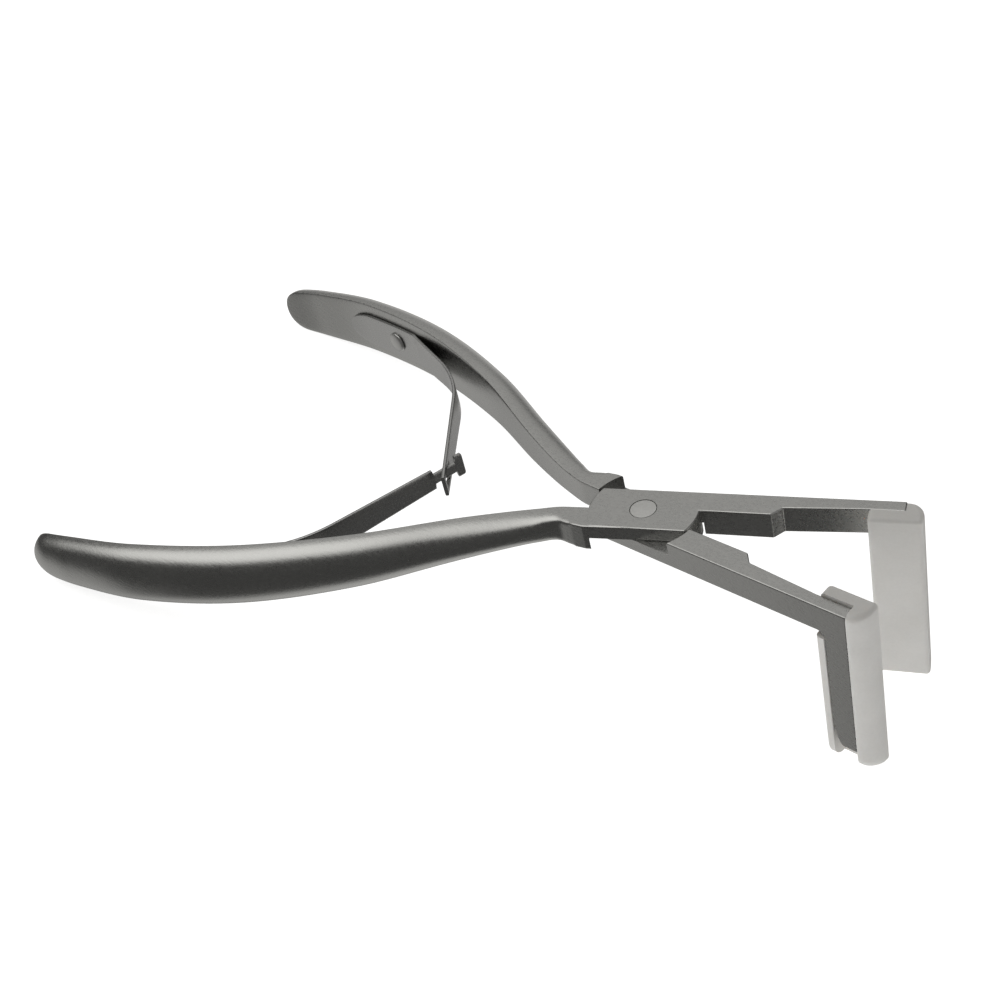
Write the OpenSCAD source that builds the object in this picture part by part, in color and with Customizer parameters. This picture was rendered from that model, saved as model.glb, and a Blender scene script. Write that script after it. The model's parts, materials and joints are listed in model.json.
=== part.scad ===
// Pressing pliers with a lap joint, two leaf springs and soft jaw sleeves.
// They stand as on a table, on the ends of both handles and the feet of both sleeves.
// Every lever is drawn in its own closed frame: X runs from the pivot to the jaw, Z is the
// pivot axis with Z = 0 on the upper face of the joint, and the closed jaws meet at Y = 0.

/* [Joint] */
// Half of the angle that the levers stand open
half_open = 12.2; // [8:0.1:14]
// Thickness of the joint and of the jaw arms
joint_h = 6; // [5:0.1:7.5]
// Width of the lap plates across the levers
plate_w = 11.2; // [10:0.1:13]
// Radius of the round ends of the lap plates
plate_r = 10.9; // [10:0.1:13]
// Gap between a plate end and the wall of the other lever
lap_gap = 0.5; // [0.3:0.1:1]
// Gap between the two lap plates
lap_clear = 0.05; // [0.02:0.01:0.2]
// Radius of the pivot rivet
pivot_r = 2.7; // [2:0.1:3.5]
// Radial play of the moving lever on the rivet
pivot_play = 0.04; // [0.01:0.01:0.09]

/* [Jaw arms] */
// Distance from the pivot to the end of a jaw arm
arm_end = 48.5; // [42:0.5:60]
// Outer side of an arm, from the closing line
arm_outer = 5.7; // [4.5:0.1:6.5]
// Inner side of an arm beside the joint, from the closing line
arm_inner = 0.25; // [0.2:0.05:1]
// Inner side of an arm just beyond the step, from the closing line
arm_step = 2.2; // [1.8:0.1:2.8]
// Inner side of an arm at its end, from the closing line
arm_relief = 3; // [2.8:0.1:3.4]
// Distance from the pivot to the step
step_x = 24.5; // [20:0.1:30]
// Length of a bar below the underside of its arm
bar_drop = 29; // [20:0.1:40]
// Width of a bar along its arm
bar_w = 4.8; // [3.5:0.1:7]

/* [Sleeves] */
// Height of a sleeve
sleeve_h = 40.2; // [34:0.1:50]
// How far the top of a sleeve stands above the top of its arm
sleeve_stand = 0.1; // [0:0.1:1]
// How much higher the lower lever's sleeve sits on its bar
sleeve_rise = 0.6; // [0:0.1:1.5]
// Gap left between the closed sleeves
closed_gap = 0.3; // [0.3:0.05:1]
// Thickness of the flange beside the arm end, at its root
front_flange = 3.3; // [2:0.1:5]
// Thickness of the flange on the pivot side
rear_flange = 1.8; // [1.5:0.1:3]
// Fit of the sleeve on its bar, each side
sleeve_fit = 0.05; // [0.02:0.01:0.2]
// Radius of the long edges of a sleeve
sleeve_round = 0.9; // [0.4:0.1:1]
// Radius of the flange corners at the foot of a sleeve
flange_round = 3.2; // [1:0.1:4.5]

/* [Handles] */
// Distance from the pivot to the end of a closed handle
handle_end = 128.4; // [120:1:160]
// Greatest width of a handle
handle_w = 13.7; // [11:0.1:17]
// Greatest distance from the closing line to the hollow of a handle
handle_bow = 22.6; // [20:0.1:28]
// Greatest depth of a handle
handle_t = 6.3; // [5:0.1:8]

/* [Leaf springs] */
// Thickness of a leaf
leaf_t = 0.8; // [0.6:0.05:1.2]
// Width of a leaf at its root
leaf_root_w = 8.6; // [7:0.1:11]
// Width of a leaf at its tip
leaf_tip_w = 4.8; // [4.6:0.1:6]
// Length of the root that lies on the handle
leaf_root = 23; // [18:0.5:26]
// Radius of the leaf rivet's shank
leaf_rivet_r = 1.4; // [1:0.1:2]
// Radius of the leaf rivet's head
leaf_head_r = 2.4; // [1.8:0.1:3]
// Width of the neck of the tee
neck_w = 2.4; // [1.8:0.1:2.8]
// Width of the tee across its two ends
tee_w = 5.4; // [5:0.1:7]
// Play of the neck in the slot, each side
slot_play = 0.3; // [0.2:0.05:0.5]

/* [Hidden] */
$fn = 64;
mid_z = -joint_h / 2;
wall_r = plate_r + lap_gap;
fit = 0.03;

// --- handle: a flat hollow face with a domed back, lofted through these stations ---
// [share of the handle's length, share of the bow, depth, width, squareness of the dome]
neck_w0 = joint_h - 0.1;
stations = [
    [0.070, 0.012, 5.5, neck_w0, 9],
    [0.092, 0.012, 5.5, neck_w0, 9],
    [0.110, 0.014, 4.8, neck_w0, 7],
    [0.130, 0.020, 4.2, neck_w0, 4.5],
    [0.160, 0.058, 4.9, joint_h, 3],
    [0.205, 0.135, 5.7, joint_h + 0.7, 2.4],
    [0.282, 0.299, handle_t - 0.1, joint_h + 2.4, 2.2],
    [0.431, 0.653, handle_t, handle_w - 2.3, 2.2],
    [0.610, 0.920, handle_t, handle_w - 0.4, 2.2],
    [0.788, 1.000, handle_t - 0.6, handle_w, 2.2],
    [0.920, 0.925, handle_t - 1.2, handle_w - 1.4, 2.2],
    [1.000, 0.835, handle_t - 1.7, handle_w - 3.6, 2.2]];
station_x = [for (s = stations) s[0] * handle_end];

// Index of the station before x, and a smooth curve through one column of the table
function before(x, i = 0) = i >= len(stations) - 2 || x < station_x[i + 1] ? i : before(x, i + 1);
function slope(i, c) = let (a = max(i - 1, 0), b = min(i + 1, len(stations) - 1))
    (stations[b][c] - stations[a][c]) / (station_x[b] - station_x[a]);
function along(x, c) = let (i = before(x), d = station_x[i + 1] - station_x[i],
        u = (x - station_x[i]) / d)
    stations[i][c] * (1 + 2 * u) * (1 - u) * (1 - u) + slope(i, c) * d * u * (1 - u) * (1 - u)
    + stations[i + 1][c] * u * u * (3 - 2 * u) - slope(i + 1, c) * d * u * u * (1 - u);

// The end of the handle is rounded over this length, blunter than an ellipse
end_round = 5.5;
end_blunt = 2.6;
function taper(x) = let (u = max(0, 1 - (handle_end - x) / end_round))
    pow(max(0.02, 1 - pow(u, end_blunt)), 1 / end_blunt);
function hollow(x) = along(x, 1) * handle_bow;
function handle_width(x) = along(x, 3) * taper(x);
function handle_depth(x) = along(x, 2) * sqrt(taper(x));
function power(v, e) = sign(v) * pow(abs(v), e);
dome_steps = 16;
function section(x) = let (e = 2 / along(x, 4))
    [for (k = [0 : dome_steps]) let (a = -90 + 180 * k / dome_steps)
        [-x, hollow(x) + handle_depth(x) * power(cos(a), e),
         mid_z + handle_width(x) / 2 * power(sin(a), e)]];
handle_x = concat([for (k = [5 : -1 : 0]) handle_end - end_round * pow(1 - k / 5, 1.7)],
                  [for (k = [25 : -1 : 1]) 24 + (handle_end - end_round - 24) * k / 26],
                  [for (k = [8 : -1 : 0]) station_x[0] + (24 - station_x[0]) * k / 8]);

// Two triangles that fill a four-sided patch
function patch(a, b, c, d) = [[a, b, c], [a, c, d]];
// A solid from rings that all have the same number of points
module loft(rings) {
    n = len(rings[0]);
    last = len(rings) - 1;
    points = [for (r = rings) for (p = r) p];
    sides = [for (i = [0 : last - 1]) for (k = [0 : n - 1]) let (j = (k + 1) % n)
        for (t = patch(i * n + k, (i + 1) * n + k, (i + 1) * n + j, i * n + j)) t];
    ends = [[for (k = [0 : n - 1]) k], [for (k = [n - 1 : -1 : 0]) last * n + k]];
    polyhedron(points, concat(sides, ends));
}

// --- resting stance, worked out from the pieces that touch the table ---
bar_x = arm_end - bar_w;
sleeve_x = bar_x - sleeve_fit - rear_flange;
sleeve_front = arm_end + sleeve_fit + front_flange;
sleeve_top = sleeve_stand;
sleeve_foot = sleeve_top - sleeve_h;
function open_x(x, y) = x * cos(half_open) + y * sin(half_open);
foot_x = open_x(sleeve_x, flange_round - arm_outer);
tilt = min([for (x = [100 : 1 : handle_end])
    atan2(mid_z - handle_width(x) / 2 - sleeve_foot, foot_x - open_x(-x, hollow(x)))]);
lift = -foot_x * sin(tilt) - sleeve_foot * cos(tilt);
low_x = open_x(-handle_end, hollow(handle_end) + handle_depth(handle_end)) * cos(tilt) - mid_z * sin(tilt);
high_x = open_x(sleeve_front, -closed_gap) * cos(tilt) - sleeve_foot * sin(tilt);

// Puts a piece of the upper lever, or of the lower one, in its place on the table
module stand() {
    translate([-(low_x + high_x) / 2, 0, lift]) rotate([0, -tilt, 0]) children();
}
module on_upper() {
    stand() rotate([0, 0, half_open]) children();
}
module on_lower() {
    stand() rotate([0, 0, -half_open]) mirror([0, 1, 0]) children();
}

// --- levers ---
module arm_plan() {
    step_slope = 0.9;
    step_l = (arm_step - arm_inner) * step_slope;
    elbow_x = sleeve_x - 1;
    polygon([[0, arm_inner], [step_x, arm_inner], [step_x + step_l, arm_step], [elbow_x, arm_relief],
             [arm_end, arm_relief], [arm_end, arm_outer], [elbow_x, arm_outer], [0, plate_w / 2]]);
}
// The block behind the plate that carries the handle and stops the joint
shoulder_x = 13;
// How far the hook of the block stands out, and where its flat tip starts and ends
hook_out = 0.3;
hook_from = 0.6;
hook_to = 1.4;
module shoulder_plan() {
    hook = plate_w / 2 + hook_out;
    polygon([[0, -arm_inner], [-shoulder_x, -arm_inner], [-shoulder_x, -plate_w / 2],
             [hook_from - wall_r, -hook], [hook_to - wall_r, -hook], [0, -plate_w / 2]]);
}
module plate_plan() {
    intersection() {
        circle(plate_r, $fn = 96);
        square([3 * plate_r, plate_w], center = true);
    }
}
// Radius of the corner under the arm, where the bar starts
elbow = 1.4;
// The bar that hangs from the arm end into the sleeve, seen from the side
module bar_side() {
    foot = joint_h + bar_drop;
    curl = 8;
    curl_w = bar_w * 0.37;
    polygon(concat(
        [[arm_end, -1], [bar_x - elbow, -1]],
        [for (k = [0 : 5]) [bar_x - elbow + elbow * sin(18 * k), -joint_h - elbow + elbow * cos(18 * k)]],
        [for (k = [0 : 6]) [bar_x + curl_w * (1 - cos(15 * k)), -foot + curl * (1 - sin(15 * k))]],
        [[arm_end, -foot]]));
}
// plate_up puts the lap plate in the upper half of the joint, otherwise in the lower half
module lever(plate_up, play) {
    plate_z = plate_up ? mid_z + lap_clear / 2 : -joint_h;
    cut_z = plate_up ? -joint_h - 1 : mid_z - lap_clear / 2;
    plate_h = joint_h / 2 - lap_clear / 2;
    difference() {
        union() {
            translate([0, 0, -joint_h]) linear_extrude(joint_h) union() {
                arm_plan();
                shoulder_plan();
            }
            translate([0, 0, plate_z]) linear_extrude(plate_h) plate_plan();
            translate([0, arm_outer, 0]) rotate([90, 0, 0])
                linear_extrude(arm_outer - arm_relief) bar_side();
            mirror([0, 1, 0]) loft([for (x = handle_x) section(x)]);
        }
        translate([0, 0, cut_z]) cylinder(h = joint_h / 2 + lap_clear / 2 + 1, r = wall_r, $fn = 96);
        translate([0, 0, -joint_h - 1]) cylinder(h = joint_h + 2, r = pivot_r + play);
        leaf_hole();
    }
}
module upper_lever() {
    color([0.52, 0.52, 0.51]) on_upper() lever(true, 0);
}
module lower_lever() {
    color([0.46, 0.46, 0.45]) on_lower() lever(false, pivot_play);
}
module pivot_rivet() {
    color([0.66, 0.66, 0.65]) on_upper() translate([0, 0, -joint_h]) cylinder(h = joint_h, r = pivot_r);
}

// --- leaf springs: a root along the handle, a straight, a bend and a straight arm ---
peel_x = 0.655 * handle_end;
rivet_x = peel_x + 7;
peel_turn = 18;
bend_r = 27;
arm_turn = 51.5;
// [straight run before the bend, where the full width ends from the closing line] of each leaf
slotted_runs = [12.4, 2.9];
tee_runs = [9.4, -1.4];
tee_neck = 5.7;
tee_l = 1.7;
slot_l = 6.2;
slot_end = 0.8;
lay = leaf_t / 2 + fit;
root_steps = 8;
root_line = [for (k = [0 : root_steps]) let (x = peel_x + leaf_root * (1 - k / root_steps))
    [-x, hollow(x) - lay]];
peel = root_line[root_steps];
bend_steps = 8;
bend_chord = [for (k = [0 : bend_steps]) let (a = peel_turn + (arm_turn - peel_turn) * k / bend_steps)
    bend_r * [sin(a) - sin(peel_turn), cos(a) - cos(peel_turn)]];
arm_way = [cos(arm_turn), -sin(arm_turn)];
function bend_start(leaf) = peel + leaf[0] * [cos(peel_turn), -sin(peel_turn)];
function arm_start(leaf) = bend_start(leaf) + bend_chord[bend_steps];
// Length of the arm, out to where its full width ends
function arm_length(leaf) = let (p = arm_start(leaf))
    leaf[1] + (p[1] * cos(half_open) - p[0] * sin(half_open)) / sin(arm_turn + half_open);
function leaf_line(leaf) = concat(root_line, [for (c = bend_chord) bend_start(leaf) + c],
    [arm_start(leaf) + arm_length(leaf) * arm_way]);
// Width of a leaf after a run from its root end, out of its whole run
function leaf_width(run, whole) = leaf_root_w
    + (leaf_tip_w - leaf_root_w) * pow(min(1, max(0, run - leaf_root) / (whole - leaf_root)), 0.7);
function runs(line, i = 0, s = 0) = i >= len(line) ? [] :
    let (t = i == 0 ? 0 : s + norm(line[i] - line[i - 1])) concat([t], runs(line, i + 1, t));
// The direction square to a line of points, at one of them
function across(line, i) = let (d = line[min(i + 1, len(line) - 1)] - line[max(i - 1, 0)])
    [-d[1], d[0]] / norm(d);
// The root end of a leaf narrows by these shares
root_shares = [0.35, 0.72, 0.9, 0.98];
// The strip of one leaf, its thickness lying towards the handle and its width along Z
module leaf_strip(line) {
    s = runs(line);
    last = len(line) - 1;
    loft([for (i = [0 : last]) let (n = across(line, i) * leaf_t / 2,
            w = leaf_width(s[i], s[last]) / 2 * (i < len(root_shares) ? root_shares[i] : 1))
        [for (c = [[1, -1], [1, 1], [-1, 1], [-1, -1]])
            [line[i][0] + c[0] * n[0], line[i][1] + c[0] * n[1], mid_z + c[1] * w]]]);
}
// A block on the straight arm of a leaf, from one distance along the arm to another
module on_arm(leaf, from, to, width, thick) {
    start = arm_start(leaf);
    translate([start[0], start[1], mid_z]) rotate([0, 0, -arm_turn])
        translate([from, -thick / 2, -width / 2]) cube([to - from, thick, width]);
}
// The axis of a leaf's rivet, square to the handle's hollow face
rivet_lean = atan2(hollow(rivet_x + 1) - hollow(rivet_x - 1), 2);
module on_rivet() {
    translate([-rivet_x, hollow(rivet_x), mid_z]) rotate([0, 0, -rivet_lean]) rotate([90, 0, 0]) children();
}
rivet_depth = 3.5;
module root_hole() {
    on_rivet() translate([0, 0, -1]) cylinder(h = 4, r = leaf_rivet_r + fit);
}
module leaf_hole() {
    mirror([0, 1, 0]) on_rivet() translate([0, 0, -rivet_depth])
        cylinder(h = rivet_depth + 2, r = leaf_rivet_r);
}
module leaf_rivet() {
    head_z = leaf_t + 3 * fit;
    head_h = 0.8;
    rim_h = head_h * 0.4;
    on_rivet() {
        translate([0, 0, -rivet_depth]) cylinder(h = rivet_depth + head_z + 0.1, r = leaf_rivet_r);
        translate([0, 0, head_z]) cylinder(h = rim_h, r = leaf_head_r);
        translate([0, 0, head_z + rim_h])
            cylinder(h = head_h - rim_h, r1 = leaf_head_r, r2 = leaf_head_r - 0.5);
    }
}
module tee_strip() {
    broad = arm_length(tee_runs);
    difference() {
        union() {
            leaf_strip(leaf_line(tee_runs));
            on_arm(tee_runs, broad - 1, broad + tee_neck, neck_w, leaf_t);
            on_arm(tee_runs, broad + tee_neck, broad + tee_neck + tee_l, tee_w, leaf_t);
        }
        root_hole();
    }
}
module slotted_strip() {
    slot_to = arm_length(slotted_runs) - slot_end;
    difference() {
        leaf_strip(leaf_line(slotted_runs));
        on_arm(slotted_runs, slot_to - slot_l, slot_to, neck_w + 2 * slot_play, 4 * leaf_t);
        root_hole();
    }
}
module tee_leaf() {
    color([0.42, 0.42, 0.41]) on_upper() mirror([0, 1, 0]) tee_strip();
}
module slotted_leaf() {
    color([0.6, 0.6, 0.59]) on_lower() mirror([0, 1, 0]) slotted_strip();
}
module tee_leaf_rivet() {
    color([0.62, 0.62, 0.6]) on_upper() mirror([0, 1, 0]) leaf_rivet();
}
module slotted_leaf_rivet() {
    color([0.62, 0.62, 0.6]) on_lower() mirror([0, 1, 0]) leaf_rivet();
}

// --- sleeves: a channel with a pressing face, open on the outer side of the bar ---
function round_corner(c, from, to, r) =
    [for (k = [0 : 5]) let (a = from + (to - from) * k / 5) c + r * [cos(a), sin(a)]];
face_y = closed_gap / 2;
// Where the flanges end, past the outer side of the arm
tip_y = arm_outer + 0.2;
// How far below its arm the flange on the pivot side starts, clear of the corner on both levers
under_arm = elbow + sleeve_rise;
// The flange beside the arm end: its flat tip, and the height of its quarter round
nose_flat = 0.4;
nose_h = 3.6;
nose_steps = 8;
nose_w = front_flange - nose_flat;
// The open side of a sleeve is rounded by this much at the top
top_round = 1.4;
module sleeve_plan() {
    r = sleeve_round;
    bar_side_x = arm_end + sleeve_fit;
    floor_y = arm_relief - sleeve_fit;
    polygon(concat(
        round_corner([sleeve_x + r, face_y + r], 180, 270, r),
        round_corner([sleeve_front - r, face_y + r], -90, 0, r),
        [for (k = [0 : nose_steps]) let (a = 90 * k / nose_steps)
            [bar_side_x + nose_flat + nose_w * cos(a), tip_y - nose_h + nose_h * sin(a)]],
        [[bar_side_x, tip_y], [bar_side_x, floor_y], [bar_x - sleeve_fit, floor_y],
         [bar_x - sleeve_fit, tip_y - 0.3]],
        round_corner([sleeve_x + r * 0.9, tip_y - r * 0.9], 90, 180, r * 0.9)));
}
// The sleeve seen along the arm, with its open side rounded at the top and at the foot
module sleeve_side() {
    polygon(concat([[0, sleeve_top], [0, sleeve_foot]],
        round_corner([tip_y - flange_round, sleeve_foot + flange_round], -90, 0, flange_round),
        round_corner([tip_y - top_round, sleeve_top - top_round], 0, 90, top_round)));
}
module sleeve() {
    difference() {
        intersection() {
            translate([0, 0, sleeve_foot]) linear_extrude(sleeve_h) sleeve_plan();
            translate([sleeve_x, 0, 0]) rotate([90, 0, 90])
                linear_extrude(sleeve_front - sleeve_x) sleeve_side();
        }
        translate([sleeve_x - 1, arm_relief - sleeve_fit, -joint_h - under_arm])
            cube([arm_end + sleeve_fit - sleeve_x + 1, arm_outer + 2, joint_h + under_arm + 1]);
    }
}
module upper_lever_sleeve() {
    color([0.93, 0.93, 0.92]) on_upper() sleeve();
}
module lower_lever_sleeve() {
    color([0.93, 0.93, 0.92]) on_lower() translate([0, 0, sleeve_rise]) sleeve();
}

upper_lever();
lower_lever();
pivot_rivet();
tee_leaf();
slotted_leaf();
tee_leaf_rivet();
slotted_leaf_rivet();
upper_lever_sleeve();
lower_lever_sleeve();
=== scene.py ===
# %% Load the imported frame
import json
import math
import bpy
import bmesh
from mathutils import Matrix, Vector


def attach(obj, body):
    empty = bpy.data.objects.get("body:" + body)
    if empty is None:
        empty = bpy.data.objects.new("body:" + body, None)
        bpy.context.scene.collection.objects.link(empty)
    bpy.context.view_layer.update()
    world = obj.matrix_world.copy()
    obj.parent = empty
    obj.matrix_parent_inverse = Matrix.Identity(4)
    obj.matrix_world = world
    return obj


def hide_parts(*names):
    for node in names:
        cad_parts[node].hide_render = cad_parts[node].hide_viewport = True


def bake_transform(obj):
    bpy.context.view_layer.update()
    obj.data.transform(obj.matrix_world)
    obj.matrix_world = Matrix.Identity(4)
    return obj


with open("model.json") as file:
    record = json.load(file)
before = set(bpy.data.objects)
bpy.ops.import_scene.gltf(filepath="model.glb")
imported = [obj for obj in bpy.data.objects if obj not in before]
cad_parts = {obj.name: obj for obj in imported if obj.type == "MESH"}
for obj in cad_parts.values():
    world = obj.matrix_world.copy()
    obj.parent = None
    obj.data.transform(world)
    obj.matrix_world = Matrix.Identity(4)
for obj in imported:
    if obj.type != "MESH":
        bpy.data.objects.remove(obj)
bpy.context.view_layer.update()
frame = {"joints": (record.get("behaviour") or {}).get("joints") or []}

# %% [markdown]
# # Pressing pliers in satin stainless steel
# The real tool is two forged levers, riveted through a lap joint. Each lever is a jaw arm, half of
# the joint and a handle on the other side of the pivot. Two leaf springs spread the handles, and
# the bars that hang from the arms wear white plastic sleeves.
# Everything below is written in one frame, the closed joint: X runs from the pivot to the jaws,
# Z is the pivot axis with Z = 0 on the joint's upper face, and lengths are millimetres. A matrix
# then opens a lever and leans it as it rests on the table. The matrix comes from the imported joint,
# so the pieces land where the frame is and nothing is placed by eye.

# %% Where a lever stands
closing = next(j for j in frame["joints"] if j["name"] == "closing")
JOINT_H = 6.0
MID_Z = -JOINT_H / 2
tilt = math.atan2(-closing["axis"][0], closing["axis"][2])
half_open = math.radians(closing["range_deg"][1]) / 2
lean = Matrix.Rotation(-tilt, 4, "Y")
pivot_mm = Vector(closing["pos_m"]) * 1000
stand = Matrix.Translation(pivot_mm) @ lean @ Matrix.Translation((0, 0, -MID_Z))
to_metres = Matrix.Scale(0.001, 4)
mirror_y = Matrix.Scale(-1, 4, (0, 1, 0))
UPPER = to_metres @ stand @ Matrix.Rotation(half_open, 4, "Z")
LOWER = to_metres @ stand @ Matrix.Rotation(-half_open, 4, "Z") @ mirror_y
print("leans back", round(math.degrees(tilt), 2), "deg; each lever stands open",
      round(math.degrees(half_open), 2), "deg")

# %% [markdown]
# ## The sizes that drive the shapes
# They are the tool's own sizes: the joint, the arms, the handles and the leaves. A handle's shape
# follows no simple rule. It was found by fitting a curve to the real tool's outline, and is kept
# as a short table of stations, rounded: each a share of the handle's length and of its bow with
# the depth, the width and how square its back is. A smooth curve through the table gives any
# point between two stations.

# %% Sizes in millimetres
PLATE_W, PLATE_R, LAP_GAP, LAP_CLEAR, PIVOT_R = 11.2, 10.9, 0.5, 0.05, 2.7
ARM_END, ARM_OUTER, ARM_INNER, ARM_STEP, ARM_RELIEF, STEP_X = 48.5, 5.7, 0.25, 2.2, 3.0, 24.5
BAR_DROP, BAR_W, ELBOW = 29.0, 4.8, 1.4
SLEEVE_H, SLEEVE_TOP, SLEEVE_RISE, CLOSED_GAP = 40.2, 0.1, 0.6, 0.3
FRONT_FLANGE, REAR_FLANGE, SLEEVE_FIT, FLANGE_ROUND = 3.3, 1.8, 0.05, 3.2
HANDLE_END, HANDLE_W, HANDLE_BOW, HANDLE_T = 128.4, 13.7, 22.6, 6.3
LEAF_T, LEAF_ROOT_W, LEAF_TIP_W, LEAF_ROOT, LEAF_HEAD_R = 0.8, 8.6, 4.8, 23.0, 2.4
NECK_W, TEE_W = 2.4, 5.4
WALL_R = PLATE_R + LAP_GAP
BAR_X = ARM_END - BAR_W
NECK_W0 = JOINT_H - 0.1
STATIONS = [
    (0.070, 0.012, 5.5, NECK_W0, 16),
    (0.092, 0.012, 5.5, NECK_W0, 16),
    (0.110, 0.014, 4.8, NECK_W0, 10),
    (0.130, 0.020, 4.2, NECK_W0, 4.5),
    (0.160, 0.058, 4.9, JOINT_H, 3),
    (0.205, 0.135, 5.7, JOINT_H + 0.7, 2.4),
    (0.282, 0.299, HANDLE_T - 0.1, JOINT_H + 2.4, 2.2),
    (0.431, 0.653, HANDLE_T, HANDLE_W - 2.3, 2.2),
    (0.610, 0.920, HANDLE_T, HANDLE_W - 0.4, 2.2),
    (0.788, 1.000, HANDLE_T - 0.6, HANDLE_W, 2.2),
    (0.920, 0.925, HANDLE_T - 1.2, HANDLE_W - 1.4, 2.2),
    (1.000, 0.835, HANDLE_T - 1.7, HANDLE_W - 3.6, 2.2)]
STATION_X = [s[0] * HANDLE_END for s in STATIONS]


def along(x, c):
    """One column of the table at x, on a smooth curve through the stations."""
    last = len(STATIONS) - 1
    i = max([n for n in range(last) if STATION_X[n] <= x] or [0])
    d = STATION_X[i + 1] - STATION_X[i]
    u = (x - STATION_X[i]) / d

    def slope(n):
        a, b = max(n - 1, 0), min(n + 1, last)
        return (STATIONS[b][c] - STATIONS[a][c]) / (STATION_X[b] - STATION_X[a])
    return (STATIONS[i][c] * (1 + 2 * u) * (1 - u) ** 2 + slope(i) * d * u * (1 - u) ** 2
            + STATIONS[i + 1][c] * u * u * (3 - 2 * u) - slope(i + 1) * d * u * u * (1 - u))


def hollow(x):
    return along(x, 1) * HANDLE_BOW


print("hollow of the handle at 60 mm:", round(hollow(60), 2), "mm")

# %% [markdown]
# ## Node trees from Python
# Geometry and shader trees are both built by one small class. `Knit` owns a tree, and its `node`
# method makes any node from its type, its settings and what its inputs get. `Link` wraps an output
# socket, so an expression such as `1 - mask * 0.4` adds its own Math nodes.

# %% A socket that does arithmetic
class Link:
    def __init__(self, knit, socket):
        self.knit, self.socket = knit, socket

    def math(self, operation, *values):
        return self.knit.node(self.knit.math_type, {"operation": operation},
                              {n: v for n, v in enumerate(values)})

    def __add__(self, other): return self.math("ADD", self, other)
    def __radd__(self, other): return self.math("ADD", other, self)
    def __sub__(self, other): return self.math("SUBTRACT", self, other)
    def __rsub__(self, other): return self.math("SUBTRACT", other, self)
    def __mul__(self, other): return self.math("MULTIPLY", self, other)
    def __rmul__(self, other): return self.math("MULTIPLY", other, self)
    def __truediv__(self, other): return self.math("DIVIDE", self, other)
    def __rtruediv__(self, other): return self.math("DIVIDE", other, self)
    def __pow__(self, other): return self.math("POWER", self, other)


class Knit:
    math_type = "ShaderNodeMath"

    def __init__(self, tree):
        self.tree = tree

    def node(self, kind, settings=None, inputs=None, out=0):
        made = self.tree.nodes.new(kind)
        for name, value in (settings or {}).items():
            setattr(made, name, value)
        for key, value in (inputs or {}).items():
            if isinstance(value, Link):
                self.tree.links.new(value.socket, made.inputs[key])
            else:
                made.inputs[key].default_value = value
        return Link(self, made.outputs[out])


# %% [markdown]
# ## One tree that lofts through stations
# A handle and a leaf are the same kind of thing: a section that is carried along a path while its
# size changes. The stations are the vertices of a chain, and each carries its sizes as attributes.
# The tree lays a grid over them, one row to a station, and works out every vertex: the half of the
# section that looks along `side` has its own depth and squareness, and so has the other half. A
# station of no size closes an end, because its vertices are merged to one point.

# %% The loft tree
def loft_tree():
    tree = bpy.data.node_groups.new("loft_through_stations", "GeometryNodeTree")
    for name, kind in (("Stations", "NodeSocketGeometry"), ("Sides", "NodeSocketInt"),
                       ("Finish", "NodeSocketMaterial")):
        tree.interface.new_socket(name, in_out="INPUT", socket_type=kind)
    tree.interface.new_socket("Loft", in_out="OUTPUT", socket_type="NodeSocketGeometry")
    k = Knit(tree)
    given = tree.nodes.new("NodeGroupInput")
    stations, sides, finish = (Link(k, given.outputs[n]) for n in range(3))
    count = k.node("GeometryNodeAttributeDomainSize", {}, {"Geometry": stations})
    columns = sides + 1
    grid = tree.nodes.new("GeometryNodeMeshGrid")
    for name, value in (("Vertices X", count), ("Vertices Y", columns)):
        tree.links.new(value.socket, grid.inputs[name])
    index = k.node("GeometryNodeInputIndex")
    row = (index / columns).math("FLOOR", index / columns + 1e-4)
    column = (index - row * columns).math("MODULO", index - row * columns, sides)
    turn = column / sides * (2 * math.pi)
    up, across = turn.math("SINE", turn), turn.math("COSINE", turn)
    forward = across.math("GREATER_THAN", across, 0.0)

    def value(name, kind="FLOAT"):
        read = k.node("GeometryNodeInputNamedAttribute", {"data_type": kind}, {"Name": name})
        return k.node("GeometryNodeSampleIndex", {"data_type": kind},
                      {"Geometry": stations, "Value": read, "Index": row})

    def rounded(wave, squareness):
        size = wave.math("ABSOLUTE", wave) ** (2 / squareness)
        return size * wave.math("SIGN", wave)
    square = forward * value("square_front") + (1 - forward) * value("square_back")
    depth = forward * value("front") + (1 - forward) * value("back")
    out = rounded(across, square) * depth
    high = rounded(up, square) * value("half_width")
    place = k.node("GeometryNodeInputPosition")
    centre = k.node("GeometryNodeSampleIndex", {"data_type": "FLOAT_VECTOR"},
                    {"Geometry": stations, "Value": place, "Index": row})
    outward = k.node("ShaderNodeVectorMath", {"operation": "SCALE"},
                     {"Vector": value("side", "FLOAT_VECTOR"), "Scale": out})
    upward = k.node("ShaderNodeCombineXYZ", {}, {"Z": high})
    offset = k.node("ShaderNodeVectorMath", {"operation": "ADD"}, {0: outward, 1: upward})
    point = k.node("ShaderNodeVectorMath", {"operation": "ADD"}, {0: centre, 1: offset})
    moved = k.node("GeometryNodeSetPosition", {}, {"Geometry": Link(k, grid.outputs[0]), "Position": point})
    closed = k.node("GeometryNodeMergeByDistance", {}, {"Geometry": moved, "Distance": 0.004})
    smooth = k.node("GeometryNodeSetShadeSmooth", {}, {"Geometry": closed})
    real = k.node("GeometryNodeRealizeInstances", {}, {"Geometry": smooth})
    painted = k.node("GeometryNodeSetMaterial", {}, {"Geometry": real, "Material": finish})
    end = tree.nodes.new("NodeGroupOutput")
    tree.links.new(painted.socket, end.inputs[0])
    return tree


LOFT = loft_tree()
print("loft tree:", len(LOFT.nodes), "nodes")

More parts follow.
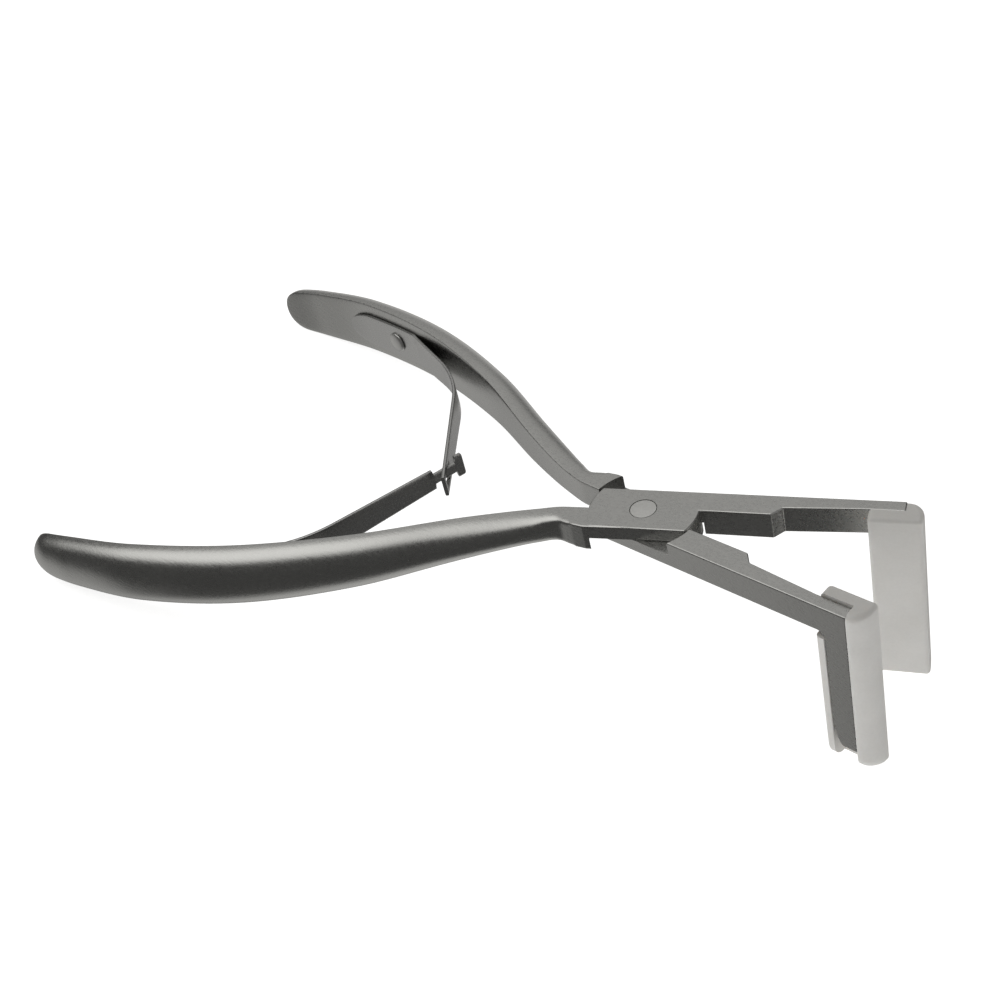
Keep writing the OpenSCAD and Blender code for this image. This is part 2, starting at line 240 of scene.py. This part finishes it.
# %% [markdown]
# ## Helpers for solid pieces
# The arms, the joint and the sleeves are straight-sided, so they are cut from plates: an outline is
# given a height, plates are joined or cut with exact booleans, and a narrow bevel breaks every edge
# as tumbling does on the real parts. Rivets are turned, so their outline is spun about an axis.

# %% Make, join and round plates
def new_object(name, mesh):
    obj = bpy.data.objects.new(name, mesh)
    bpy.context.scene.collection.objects.link(obj)
    return obj


def plate(outline, low, high, turned=None):
    """A closed prism over an outline, from low to high, and then turned."""
    bm = bmesh.new()
    base = bm.faces.new([bm.verts.new((x, y, low)) for x, y in outline])
    top = bmesh.ops.extrude_face_region(bm, geom=[base])["geom"]
    bmesh.ops.translate(bm, verts=[v for v in top if isinstance(v, bmesh.types.BMVert)],
                        vec=(0, 0, high - low))
    if turned is not None:
        bm.transform(turned)
    bmesh.ops.recalc_face_normals(bm, faces=bm.faces)
    mesh = bpy.data.meshes.new("plate")
    bm.to_mesh(mesh)
    bm.free()
    return new_object("plate", mesh)


def finished(obj, name):
    """The object with its modifiers applied, as a plain mesh at the origin."""
    bpy.context.view_layer.update()
    mesh = bpy.data.meshes.new_from_object(obj.evaluated_get(bpy.context.evaluated_depsgraph_get()))
    bpy.data.objects.remove(obj)
    mesh.name = name
    return new_object(name, mesh)


def combine(first, others, operation):
    for other in others:
        cut = first.modifiers.new("cut", "BOOLEAN")
        cut.operation, cut.object, cut.solver = operation, other, "EXACT"
    made = finished(first, "solid")
    for other in others:
        bpy.data.objects.remove(other)
    return made


def broken_edges(obj, name, width, segments=3):
    """Rounds every edge sharper than 35 degrees, with room left where two such edges meet."""
    bm = bmesh.new()
    bm.from_mesh(obj.data)
    bmesh.ops.remove_doubles(bm, verts=bm.verts, dist=0.004)
    bmesh.ops.dissolve_limit(bm, angle_limit=math.radians(0.4), verts=bm.verts, edges=bm.edges)
    bm.to_mesh(obj.data)
    bm.free()
    bevel = obj.modifiers.new("bevel", "BEVEL")
    bevel.width, bevel.segments, bevel.limit_method = width, segments, "ANGLE"
    bevel.angle_limit, bevel.use_clamp_overlap = math.radians(35), True
    return finished(obj, name)


def skin(name, rings):
    """A closed shell over rings that all have the same number of points."""
    bm = bmesh.new()
    loops = [[bm.verts.new(point) for point in ring] for ring in rings]
    for low, high in zip(loops, loops[1:]):
        for i in range(len(low)):
            j = (i + 1) % len(low)
            bm.faces.new([low[i], low[j], high[j], high[i]])
    bm.faces.new(loops[0])
    bm.faces.new(loops[-1])
    bmesh.ops.recalc_face_normals(bm, faces=bm.faces)
    mesh = bpy.data.meshes.new(name)
    bm.to_mesh(mesh)
    bm.free()
    return new_object(name, mesh)


def shaded(obj, sharp=38.0):
    """Smooth shading that leaves large faces flat. It comes last, on the placed mesh, so that a
    mirrored piece gets normals of its own."""
    obj.data.shade_smooth()
    obj.data.set_sharp_from_angle(angle=math.radians(sharp))
    weigh = obj.modifiers.new("weigh", "WEIGHTED_NORMAL")
    weigh.keep_sharp = True
    return finished(obj, obj.name)


def open_edges(obj):
    """How many edges of a mesh don't have exactly two faces; a closed shell has none."""
    bm = bmesh.new()
    bm.from_mesh(obj.data)
    count = sum(1 for e in bm.edges if len(e.link_faces) != 2)
    bm.free()
    return count


def circle(radius, count=96, x=0.0, y=0.0):
    return [(x + radius * math.cos(2 * math.pi * i / count), y + radius * math.sin(2 * math.pi * i / count))
            for i in range(count)]


def arc(centre, start, stop, radius, steps=6):
    """Points of an arc, with its angles in degrees."""
    turns = [math.radians(start + (stop - start) * i / steps) for i in range(steps + 1)]
    return [(centre[0] + radius * math.cos(t), centre[1] + radius * math.sin(t)) for t in turns]


def turned_piece(name, outline, count=72):
    """A lathe: (radius, height) points from the axis at the foot to the axis at the top."""
    bm = bmesh.new()
    rings = []
    for r, z in outline:
        if r < 1e-6:
            rings.append([bm.verts.new((0, 0, z))] * count)
        else:
            rings.append([bm.verts.new((x, y, z)) for x, y in circle(r, count)])
    for low, high in zip(rings, rings[1:]):
        for i in range(count):
            j = (i + 1) % count
            corners = list(dict.fromkeys([low[i], low[j], high[j], high[i]]))
            if len(corners) > 2:
                bm.faces.new(corners).smooth = True
    bmesh.ops.recalc_face_normals(bm, faces=bm.faces)
    mesh = bpy.data.meshes.new(name)
    bm.to_mesh(mesh)
    bm.free()
    mesh.set_sharp_from_angle(angle=math.radians(40))
    return new_object(name, mesh)


def place(obj, matrix):
    """Bakes a matrix into the mesh; a mirror turns the faces, so they are turned back."""
    obj.data.transform(matrix)
    if matrix.determinant() < 0:
        obj.data.flip_normals()
    return obj


# %% [markdown]
# ## Finishes
# Satin stainless is a metal whose roughness changes over a fine grain: long scratches from the belt
# along the lever, a small grain from tumbling, and faint clouds where fingers have been. Grain moves
# roughness and a very low bump, never the colour by much, because steel keeps one hue. The rivets
# are turned and a little brighter, and the leaves are rolled strip with a tighter grain.

# %% Steel
BUMP_DEPTH = 0.0004


def start_finish(name):
    material = bpy.data.materials.new(name)
    material.use_nodes = True
    tree = material.node_tree
    shader = tree.nodes["Principled BSDF"]
    return material, Knit(tree), shader


def feed(k, shader, **links):
    names = {"colour": "Base Color", "roughness": "Roughness", "normal": "Normal"}
    for name, link in links.items():
        k.tree.links.new(link.socket, shader.inputs[names[name]])


def noise(k, place_on, scale, detail=3.0, rough=0.55):
    return k.node("ShaderNodeTexNoise", {}, {"Vector": place_on, "Scale": scale, "Detail": detail,
                                             "Roughness": rough})


def between(k, mask, low, high):
    """A mask from 0 to 1 becomes a value from low to high."""
    return k.node("ShaderNodeMapRange", {}, {"Value": mask, "From Min": 0.3, "From Max": 0.7,
                                             "To Min": low, "To Max": high})


def colours(k, mask, dark, light):
    return k.node("ShaderNodeMix", {"data_type": "RGBA"}, {0: mask, 6: (*dark, 1), 7: (*light, 1)}, out=2)


def steel(name, dark, light, roughness, grain, lift=0.06):
    material, k, shader = start_finish(name)
    shader.inputs["Metallic"].default_value = 1.0
    here = k.node("ShaderNodeTexCoord", out=3)
    laid = k.node("ShaderNodeMapping", {}, {"Vector": here, "Rotation": (0.0, -tilt, 0.0)})
    drawn = k.node("ShaderNodeMapping", {}, {"Vector": laid, "Scale": grain})
    scratch = noise(k, drawn, 1.0, 2.0)
    speck = noise(k, here, 2400.0, 2.0)
    cloud = noise(k, here, 90.0, 3.0)
    mask = scratch * 0.4 + speck * 0.4 + cloud * 0.2
    feed(k, shader, colour=colours(k, between(k, mask, 0.0, 1.0), dark, light),
         roughness=between(k, mask, roughness - 0.05, roughness + 0.07),
         normal=k.node("ShaderNodeBump", {}, {"Strength": lift, "Distance": BUMP_DEPTH,
                                              "Height": scratch * 0.7 + speck * 0.3}))
    return material


LEVER_STEEL = steel("satin_stainless", (0.42, 0.42, 0.41), (0.54, 0.54, 0.525), 0.28,
                    (700, 2200, 2200), 0.08)
RIVET_STEEL = steel("turned_rivet_steel", (0.58, 0.58, 0.565), (0.70, 0.70, 0.685), 0.42,
                    (1500, 1500, 1500))
LEAF_STEEL = steel("rolled_spring_steel", (0.44, 0.44, 0.435), (0.52, 0.52, 0.51), 0.28,
                   (260, 3000, 3000))

# %% [markdown]
# The sleeves are moulded in a soft white plastic. Light enters a little way, which takes the edge
# off the shadows, so the shader has a small constant subsurface weight. A low, wide bump gives the
# surface the faint unevenness of a moulding, and the roughness drifts with it.

# %% White plastic
def plastic(name, dark, light, roughness):
    material, k, shader = start_finish(name)
    shader.inputs["Subsurface Weight"].default_value = 0.15
    shader.inputs["Subsurface Radius"].default_value = (1.0, 0.9, 0.8)
    shader.inputs["Subsurface Scale"].default_value = 0.0012
    here = k.node("ShaderNodeTexCoord", out=3)
    wide, fine = noise(k, here, 140.0, 2.0), noise(k, here, 1800.0, 2.0)
    mask = wide * 0.6 + fine * 0.4
    feed(k, shader, colour=colours(k, between(k, mask, 0.0, 1.0), dark, light),
         roughness=between(k, mask, roughness - 0.05, roughness + 0.06),
         normal=k.node("ShaderNodeBump", {}, {"Strength": 0.08, "Distance": BUMP_DEPTH, "Height": mask}))
    return material


SLEEVE_WHITE = plastic("soft_white_plastic", (0.72, 0.71, 0.685), (0.78, 0.77, 0.745), 0.42)
print("finishes:", [m.name for m in (LEVER_STEEL, RIVET_STEEL, LEAF_STEEL, SLEEVE_WHITE)])

# %% [markdown]
# ## The handles
# A forged handle has a flat hollow face towards the other handle and a domed back that fills the
# palm. It starts as a square neck at the joint, turns outwards, grows wide and thins again to a
# rounded end. The handle is a chain of stations and the loft tree makes it: the `front` half is
# the dome, and the `back` half is the flat face with its softly broken edges.

# %% Loft one handle
END_ROUND, END_BLUNT, EDGE = 5.5, 2.6, 0.5
BLOCK = [(0.0, PLATE_W / 2), (10.0, PLATE_W / 2 + 0.3), (10.8, PLATE_W / 2 + 0.3), (13.4, 5.33)]


def chain(name, stations):
    """A chain of vertices whose attributes the loft tree reads."""
    mesh = bpy.data.meshes.new(name)
    mesh.from_pydata([s["at"] for s in stations], [(i, i + 1) for i in range(len(stations) - 1)], [])
    side = mesh.attributes.new("side", "FLOAT_VECTOR", "POINT")
    side.data.foreach_set("vector", [c for s in stations for c in s["side"]])
    for key in ("front", "back", "half_width", "square_front", "square_back"):
        mesh.attributes.new(key, "FLOAT", "POINT").data.foreach_set("value", [s[key] for s in stations])
    return new_object(name, mesh)


def lofted(name, stations, sides, finish):
    obj = chain(name, stations)
    loft = obj.modifiers.new("loft", "NODES")
    loft.node_group = LOFT
    for item in LOFT.interface.items_tree:
        if item.in_out == "INPUT" and item.name in ("Sides", "Finish"):
            loft[item.identifier] = sides if item.name == "Sides" else finish
    made = finished(obj, name)
    bm = bmesh.new()
    bm.from_mesh(made.data)
    bmesh.ops.recalc_face_normals(bm, faces=bm.faces)
    bm.to_mesh(made.data)
    bm.free()
    print(name, len(made.data.polygons), "faces,", open_edges(made), "open edges")
    return made


def block_side(x):
    """The outer side of the block behind the joint, with its hook, up to where the handle starts."""
    for (x0, y0), (x1, y1) in zip(BLOCK, BLOCK[1:]):
        if x <= x1:
            return y0 + (y1 - y0) * (x - x0) / (x1 - x0)


def handle_stations():
    flush, block_end, square = 0.01, BLOCK[-1][0], 24.0
    xs = [0.0, 5.0, 9.6, 9.95, 10.0, 10.05, 10.4, 10.75, 10.8, 10.85, 11.2, 11.6, 12.0, 12.5, 13.0]
    xs += [block_end + (24 - block_end) * i / 22 for i in range(22)]
    xs += [24 + (HANDLE_END - END_ROUND - 24) * i / 90 for i in range(90)]
    xs += [HANDLE_END - END_ROUND * (1 - i / 24) ** 1.6 for i in range(25)]
    stations = []
    for x in xs:
        u = max(0.0, 1 - (HANDLE_END - x) / END_ROUND)
        taper = max(0.0, 1 - u ** END_BLUNT) ** (1 / END_BLUNT)
        inner = hollow(max(x, STATION_X[0]))
        if x < block_end:
            depth, half_width, front = block_side(x) - inner, JOINT_H / 2 - flush, square
        else:
            depth, half_width, front = along(x, 2) * math.sqrt(taper), along(x, 3) / 2 * taper, along(x, 4)
            half_width = max(half_width, JOINT_H / 2 - flush) if x < 24 else half_width
        edge = min(EDGE, depth * 0.3)
        stations.append(dict(at=(-x, -inner - edge, MID_Z), side=(0, -1, 0), front=depth - edge,
                             back=edge, half_width=half_width, square_front=front, square_back=7.0))
    return [dict(stations[0], front=0, back=0, half_width=0)] + stations


def handle():
    return lofted("handle", handle_stations(), 88, LEVER_STEEL)


# %% [markdown]
# ## Arm, joint and bar
# The jaw end of a lever is a straight forging: an arm with a step, a block behind the joint, half
# the thickness of the lap plate and, at the far end, a bar that hangs down into the sleeve. It is
# all one piece of steel. Its long edges are broken first and the round recess, in which the other
# lever's plate turns, is cut afterwards with the hole for the rivet, because machined edges stay
# crisp. The block is lofted in one with the handle, so that no seam shows between them.

# %% Cut one jaw half
def bar_outline():
    foot, curl, curl_w = JOINT_H + BAR_DROP, 8.0, BAR_W * 0.37
    bend = [(BAR_X - ELBOW + ELBOW * math.sin(math.radians(9 * i)),
             -JOINT_H - ELBOW + ELBOW * math.cos(math.radians(9 * i))) for i in range(11)]
    sweep = [(BAR_X + curl_w * (1 - math.cos(math.radians(10 * i))),
              -foot + curl * (1 - math.sin(math.radians(10 * i)))) for i in range(10)]
    return [(ARM_END, -0.6), (BAR_X - ELBOW, -0.6)] + bend + sweep + [(ARM_END, -foot)]


def jaw_half(plate_up):
    step_l = (ARM_STEP - ARM_INNER) * 0.9
    elbow_x = BAR_X - SLEEVE_FIT - REAR_FLANGE - 1
    arm = [(0, ARM_INNER), (STEP_X, ARM_INNER), (STEP_X + step_l, ARM_STEP), (elbow_x, ARM_RELIEF),
           (ARM_END, ARM_RELIEF), (ARM_END, ARM_OUTER), (elbow_x, ARM_OUTER), (0, PLATE_W / 2)]
    reach = math.asin(PLATE_W / 2 / PLATE_R)
    half = [(PLATE_R * math.cos(t), PLATE_R * math.sin(t))
            for t in [reach * (i / 16 * 2 - 1) for i in range(17)]]
    lap = half + [(-x, -y) for x, y in half]
    low, high = (MID_Z + LAP_CLEAR / 2, 0.0) if plate_up else (-JOINT_H, MID_Z - LAP_CLEAR / 2)
    cut_low, cut_high = (-JOINT_H - 1, low) if plate_up else (high, 1.0)
    stand_up = Matrix(((1, 0, 0, 0), (0, 0, -1, ARM_OUTER), (0, 1, 0, 0), (0, 0, 0, 1)))
    body = combine(plate(arm, -JOINT_H, 0.0),
                   [plate(bar_outline(), 0.0, ARM_OUTER - ARM_RELIEF, stand_up)], "UNION")
    body = combine(broken_edges(body, "jaw_half", 0.28), [handle()], "UNION")
    body = combine(body, [plate(circle(WALL_R, 128), cut_low, cut_high)], "DIFFERENCE")
    body = combine(body, [broken_edges(plate(lap, low, high), "lap_plate", 0.28)], "UNION")
    return combine(body, [plate(circle(PIVOT_R, 96), -JOINT_H - 1, 1.0)], "DIFFERENCE")


def painted(obj, name, finish):
    obj.name = name
    obj.data.materials.clear()
    obj.data.materials.append(finish)
    return obj


def lever(name, plate_up, matrix):
    piece = shaded(painted(place(jaw_half(plate_up), matrix), name, LEVER_STEEL))
    print(name, open_edges(piece), "open edges")
    return piece


def give(piece, body, node):
    """Hands a finished piece to its body, in place of its CAD node."""
    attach(piece, body)
    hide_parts(node)
    print(piece.name, "rides on", body, "with", len(piece.data.polygons), "faces")
    return piece


upper = give(lever("upper_lever_forged", True, UPPER), "upper_half", "upper_lever")
lower = give(lever("lower_lever_forged", False, LOWER), "lower_half", "lower_lever")

# %% [markdown]
# ## The pivot rivet
# The rivet is ground flush with the joint and shows as a pale disc. What draws the thin dark ring
# round it is a narrow groove between the ground face and the crisp edge of the hole.

# %% Turn the pivot rivet
def pivot():
    r, groove, deep = PIVOT_R - 0.01, 0.13, 0.35
    half = [(r - groove, deep), (r - groove - 0.01, 0.06), (r - groove - 0.05, 0.02),
            (r - groove - 0.3, 0.0), (0, 0.0)]
    top = [(r, -deep - 0.2), (r - 0.02, -deep - 0.02)] + [(x, -z) for x, z in half]
    outline = [(x, -JOINT_H - z) for x, z in reversed(top)] + top
    rivet = place(turned_piece("pivot_rivet_turned", outline, 96), UPPER)
    rivet.data.materials.append(RIVET_STEEL)
    return rivet


give(pivot(), "upper_half", "pivot_rivet")

# %% [markdown]
# ## The leaf springs
# A leaf is a strip of spring steel. Its root lies on the hollow face of a handle, then it leaves
# in a straight run, bends, and runs straight to its tip, getting narrower all the way. One tip
# ends in a tee, the other has a slot that the tee is hooked through, so the two can't come apart.
# The strip follows a path, so the same loft tree makes it: the path's points are the stations and
# the tee is only a quick change of width. The slot is cut afterwards.

# %% The path of a leaf
PEEL_X = 0.655 * HANDLE_END
PEEL_TURN, ARM_TURN, BEND_R = math.radians(18), math.radians(51.5), 27.0
FIT = 0.03
SLOTTED_RUNS, TEE_RUNS = (12.4, 2.9), (9.4, -1.4)
TEE_NECK, TEE_L, SLOT_L, SLOT_END, SLOT_PLAY = 5.7, 1.7, 6.2, 0.8, 0.3


def leaf_path(run, past_middle):
    """Points of a leaf's middle line as far as its arm, for a handle at +Y, then the arm's direction
    and the length that takes it past the closing line by that much when the handles are open."""
    root = [PEEL_X + LEAF_ROOT * (1 - i / 40) for i in range(41)]
    points = [Vector((-x, hollow(x) - LEAF_T / 2 - FIT)) for x in root]
    start = points[-1] + run * Vector((math.cos(PEEL_TURN), -math.sin(PEEL_TURN)))
    straight = [points[-1].lerp(start, i / 12) for i in range(1, 12)]
    bend = [start + BEND_R * Vector((math.sin(a) - math.sin(PEEL_TURN), math.cos(a) - math.cos(PEEL_TURN)))
            for a in [PEEL_TURN + (ARM_TURN - PEEL_TURN) * i / 24 for i in range(25)]]
    way = Vector((math.cos(ARM_TURN), -math.sin(ARM_TURN)))
    corner = bend[-1]
    to_middle = ((corner.y * math.cos(half_open) - corner.x * math.sin(half_open))
                 / math.sin(ARM_TURN + half_open))
    return points + straight + bend, way, to_middle + past_middle


def leaf_stations(run, past_middle, tips):
    """Stations of a strip; tips are (distance past the full width, width)."""
    points, way, arm = leaf_path(run, past_middle)
    corner = points[-1]
    points += [corner + way * arm * i / 20 for i in range(1, 21)]
    runs = [0.0]
    for a, b in zip(points, points[1:]):
        runs.append(runs[-1] + (b - a).length)
    whole = runs[-1]
    stations = []

    def add(p, direction, width, thick=1.0):
        side = Vector((-direction.y, direction.x))
        stations.append(dict(at=(p.x, p.y, MID_Z), side=(side.x, side.y, 0), front=LEAF_T / 2 * thick,
                             back=LEAF_T / 2 * thick, half_width=width / 2, square_front=7, square_back=7))
    for i, p in enumerate(points):
        ahead, behind = points[min(i + 1, len(points) - 1)], points[max(i - 1, 0)]
        share = min(1.0, max(0.0, runs[i] - LEAF_ROOT) / (whole - LEAF_ROOT)) ** 0.7
        width = LEAF_ROOT_W + (LEAF_TIP_W - LEAF_ROOT_W) * share
        ease = min(1.0, runs[i] / 8.0)
        width *= 0.2 + 0.8 * math.sqrt(1 - (1 - ease) ** 2)
        add(p, (ahead - behind).normalized(), width)
    for distance, width in tips:
        add(corner + way * (arm + distance), way, width)
    last, first = dict(stations[-1]), dict(stations[0])
    none = dict(front=0, back=0, half_width=0)
    return [dict(first, **none)] + stations + [dict(last, **none)]


# %% Make the two leaves
def eased(start, low, high, length=0.25, steps=4):
    """A quick, rounded change of width from one distance along the arm."""
    return [(start + length * i / steps, low + (high - low) * (1 - math.cos(math.pi * i / steps)) / 2)
            for i in range(steps + 1)]


def slotted_leaf():
    strip = lofted("slotted_strip", leaf_stations(*SLOTTED_RUNS, []), 40, LEAF_STEEL)
    points, way, arm = leaf_path(*SLOTTED_RUNS)
    half = NECK_W / 2 + SLOT_PLAY
    to, start = arm - SLOT_END, arm - SLOT_END - SLOT_L
    outline = (arc((to - 0.5, half - 0.5), 90, 0, 0.5) + arc((to - 0.5, 0.5 - half), 0, -90, 0.5)
               + arc((start + 0.5, 0.5 - half), -90, -180, 0.5)
               + arc((start + 0.5, half - 0.5), 180, 90, 0.5))
    corner = points[-1]
    flat = Matrix(((way.x, 0, -way.y, corner.x), (way.y, 0, way.x, corner.y),
                   (0, 1, 0, MID_Z), (0, 0, 0, 1)))
    return combine(strip, [plate(outline, -2.0, 2.0, flat)], "DIFFERENCE")


def tee_leaf():
    head = TEE_NECK
    tips = (eased(0.02, LEAF_TIP_W, NECK_W) + [(head - 0.3, NECK_W)] + eased(head - 0.2, NECK_W, TEE_W)
            + [(head + TEE_L - 0.3, TEE_W), (head + TEE_L - 0.1, TEE_W - 0.25),
               (head + TEE_L, TEE_W - 0.7)])
    return lofted("tee_strip", leaf_stations(*TEE_RUNS, tips), 40, LEAF_STEEL)


def sprung(strip, name, matrix, node):
    """Puts a leaf in place."""
    piece = shaded(painted(place(strip, matrix @ mirror_y), name, LEAF_STEEL))
    start = matrix @ Vector((-PEEL_X, -hollow(PEEL_X), MID_Z))
    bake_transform(piece)
    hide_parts(node)
    print(name, len(piece.data.polygons), "faces,", open_edges(piece), "open edges")


sprung(tee_leaf(), "tee_leaf_rolled", UPPER, "tee_leaf")
sprung(slotted_leaf(), "slotted_leaf_rolled", LOWER, "slotted_leaf")

# %% [markdown]
# ## The leaf rivets
# Each leaf is held by one rivet with a low domed head. The head is turned: a short straight rim,
# then an arc to the middle, so it catches one round highlight and throws a small shadow.

# %% Turn the leaf rivets
def leaf_rivet(name, matrix):
    x = PEEL_X + 7
    lean_in = math.atan2(hollow(x + 1) - hollow(x - 1), 2)
    r, foot, rise = LEAF_HEAD_R, LEAF_T + 0.09, 0.8
    dome = [(r * math.cos(math.radians(a)), foot + 0.18 + (rise - 0.18) * math.sin(math.radians(a)))
            for a in range(0, 91, 9)]
    outline = [(0, -3.5), (1.3, -3.5), (1.4, -3.4), (1.4, foot), (r - 0.1, foot)] + dome
    turned = (Matrix.Translation((-x, hollow(x), MID_Z)) @ Matrix.Rotation(-lean_in, 4, "Z")
              @ Matrix.Rotation(math.radians(90), 4, "X"))
    rivet = place(turned_piece(name, outline), matrix @ mirror_y @ turned)
    rivet.data.materials.append(RIVET_STEEL)
    return rivet


give(leaf_rivet("tee_leaf_rivet_turned", UPPER), "upper_half", "tee_leaf_rivet")
give(leaf_rivet("slotted_leaf_rivet_turned", LOWER), "lower_half", "slotted_leaf_rivet")

# %% [markdown]
# ## The sleeves
# A sleeve is a moulded channel: a flat pressing face, a thin flange on the pivot side and a quarter
# round beyond the arm's end, with the bar lying in between, open to the outside. A moulding has no
# crisp outer edge, so it is skinned over level outlines that shrink towards the top and the foot.
# The channel is cut afterwards, and its edges stay crisp where they lie against the steel.

# %% Mould the sleeves
NOSE_FLAT, NOSE_H, TOP_ROUND, EDGE_ROUND, CORNER = 0.4, 3.6, 1.4, 0.85, 0.9
UNDER_ARM = ELBOW + SLEEVE_RISE


def drawn_in(z, foot, radius_top, radius_foot):
    """How far an outline at height z is drawn in by a rounding at the top and one at the foot."""
    over = max(0.0, z - (SLEEVE_TOP - radius_top))
    under = max(0.0, foot + radius_foot - z)
    return (radius_top - math.sqrt(max(0.0, radius_top ** 2 - over ** 2))
            + radius_foot - math.sqrt(max(0.0, radius_foot ** 2 - under ** 2)))


def sleeve_outline(z, foot):
    inset = drawn_in(z, foot, EDGE_ROUND, EDGE_ROUND)
    tip = ARM_OUTER + 0.2 - max(inset, drawn_in(z, foot, TOP_ROUND, FLANGE_ROUND))
    left, right = BAR_X - SLEEVE_FIT - REAR_FLANGE + inset, ARM_END + SLEEVE_FIT + FRONT_FLANGE - inset
    face, r = CLOSED_GAP / 2 + inset, max(0.04, CORNER - inset)
    middle = ARM_END + SLEEVE_FIT + NOSE_FLAT
    nose = min(NOSE_H, tip - face - r - 0.1)
    quarter = [math.radians(90 * i / 14) for i in range(15)]
    return ([(x, y, z) for x, y in arc((left + r, face + r), 180, 270, r, 8)]
            + [(x, y, z) for x, y in arc((right - r, face + r), -90, 0, r, 8)]
            + [(middle + (right - middle) * math.cos(a), tip - nose + nose * math.sin(a), z)
               for a in quarter]
            + [(x, y, z) for x, y in arc((left + r, tip - r), 90, 180, r, 8)])


def sleeve(name, rise, matrix):
    foot, floor = SLEEVE_TOP - SLEEVE_H, ARM_RELIEF - SLEEVE_FIT
    turns = [math.radians(90 * i / 12) for i in range(13)]
    heights = [foot + FLANGE_ROUND * (1 - math.cos(t)) for t in turns]
    heights += [foot + EDGE_ROUND * (1 - math.cos(t)) for t in turns[1:]]
    heights += [SLEEVE_TOP - size * (1 - math.cos(t)) for t in turns for size in (EDGE_ROUND, TOP_ROUND)]
    heights = sorted({round(z, 3) for z in heights})
    body = skin(name, [sleeve_outline(z, foot) for z in heights])
    wall, inner, out = ARM_END + SLEEVE_FIT, BAR_X - SLEEVE_FIT, ARM_OUTER + 3
    channel = [(inner, floor), (wall, floor), (wall, out), (inner, out)]
    under = [(inner - REAR_FLANGE - 1, floor), (wall, floor), (wall, out), (inner - REAR_FLANGE - 1, out)]
    body = combine(body, [plate(channel, foot - 1, SLEEVE_TOP + 1)], "DIFFERENCE")
    body = combine(body, [plate(under, -JOINT_H - UNDER_ARM, SLEEVE_TOP + 2)], "DIFFERENCE")
    body.data.transform(Matrix.Translation((0, 0, rise)))
    piece = shaded(painted(place(body, matrix), name, SLEEVE_WHITE))
    print(name, open_edges(piece), "open edges")
    return piece


give(sleeve("upper_sleeve_moulded", 0.0, UPPER), "upper_half", "upper_lever_sleeve")
give(sleeve("lower_sleeve_moulded", SLEEVE_RISE, LOWER), "lower_half", "lower_lever_sleeve")

# %% [markdown]
# ## Table, light and camera
# Satin metal shows what is round it, so the room makes the shapes. It is a dim room with a few
# large soft boxes, painted into the world by their direction: one high over the grips, one behind
# the tool, one low beyond the jaws, and three below. Each box fades out at its rim, because a hard
# rim would show in the steel. The table lights the white sleeves from below, as paper under a tool
# does, but the steel reflects the boxes below in its place. The camera looks down from the jaw
# side.

# %% Table
def table():
    bm = bmesh.new()
    bmesh.ops.create_grid(bm, x_segments=2, y_segments=2, size=0.9)
    mesh = bpy.data.meshes.new("table")
    bm.to_mesh(mesh)
    bm.free()
    obj = new_object("table", mesh)
    material, k, shader = start_finish("pale_table")
    shader.inputs["Base Color"].default_value = (0.9, 0.9, 0.9, 1)
    shader.inputs["Roughness"].default_value = 0.9
    shader.inputs["Specular IOR Level"].default_value = 0.0
    shader.inputs["Emission Color"].default_value = (1, 1, 1, 1)
    shader.inputs["Emission Strength"].default_value = 0.8
    mesh.materials.append(material)
    obj.visible_glossy = False
    return obj


table()

# %% Soft boxes
# A key light high over the grips, a fill behind for the flat tops and one at the jaws, and light
# bounced up from below for the sides.
KEY, BOUNCE, FILL = 1.3, 0.6, 0.45
# (azimuth from +X towards +Y, elevation, strength) of each box
BOXES = [(200, 60, KEY), (120, 40, FILL), (0, 20, FILL),
         (120, -25, BOUNCE), (195, -40, FILL), (0, -80, BOUNCE)]
BOX_FULL, BOX_RIM, ROOM_GLOW = 10, 40, 0.08
ROOM_WHITE = (1.0, 0.99, 0.97)


def toward(azimuth, elevation):
    a, e = math.radians(azimuth), math.radians(elevation)
    return math.cos(e) * math.cos(a), math.cos(e) * math.sin(a), math.sin(e)


def room():
    world = bpy.data.worlds.new("room")
    world.use_nodes = True
    k = Knit(world.node_tree)
    back = world.node_tree.nodes["Background"]
    back.inputs[0].default_value = (*ROOM_WHITE, 1)
    direction = k.node("ShaderNodeTexCoord", out=0)
    glow = ROOM_GLOW
    for azimuth, elevation, strength in BOXES:
        facing = k.node("ShaderNodeVectorMath", {"operation": "DOT_PRODUCT"},
                        {0: direction, 1: toward(azimuth, elevation)}, out=1)
        box = k.node("ShaderNodeMapRange", {"interpolation_type": "SMOOTHSTEP"},
                     {"Value": facing, "From Min": math.cos(math.radians(BOX_RIM)),
                      "From Max": math.cos(math.radians(BOX_FULL))})
        glow = box * strength + glow
    world.node_tree.links.new(glow.socket, back.inputs[1])
    bpy.context.scene.world = world
    bpy.context.scene.view_settings.view_transform = "Standard"


room()
print("room:", len(BOXES), "soft boxes")

# %% Camera
LENS_MM, SENSOR_MM = 56.5, 36.0
EYE = Vector((126.0, -192.2, 193.5))
RIGHT, FORWARD = Vector((0.8464, 0.4921, -0.2034)), Vector((-0.4994, 0.6010, -0.6240))


def camera():
    data = bpy.data.cameras.new("camera")
    data.lens, data.sensor_width = LENS_MM, SENSOR_MM
    data.clip_start, data.clip_end = 0.01, 10
    obj = bpy.data.objects.new("camera", data)
    bpy.context.scene.collection.objects.link(obj)
    right, back = (lean @ RIGHT).normalized(), -(lean @ FORWARD).normalized()
    up = back.cross(right)
    turn = Matrix((right, up, back)).transposed().to_4x4()
    obj.matrix_world = Matrix.Translation(to_metres @ stand @ EYE) @ turn
    bpy.context.scene.camera = obj
    return obj


view_from = camera()
print("camera at", [round(c, 3) for c in view_from.matrix_world.translation])
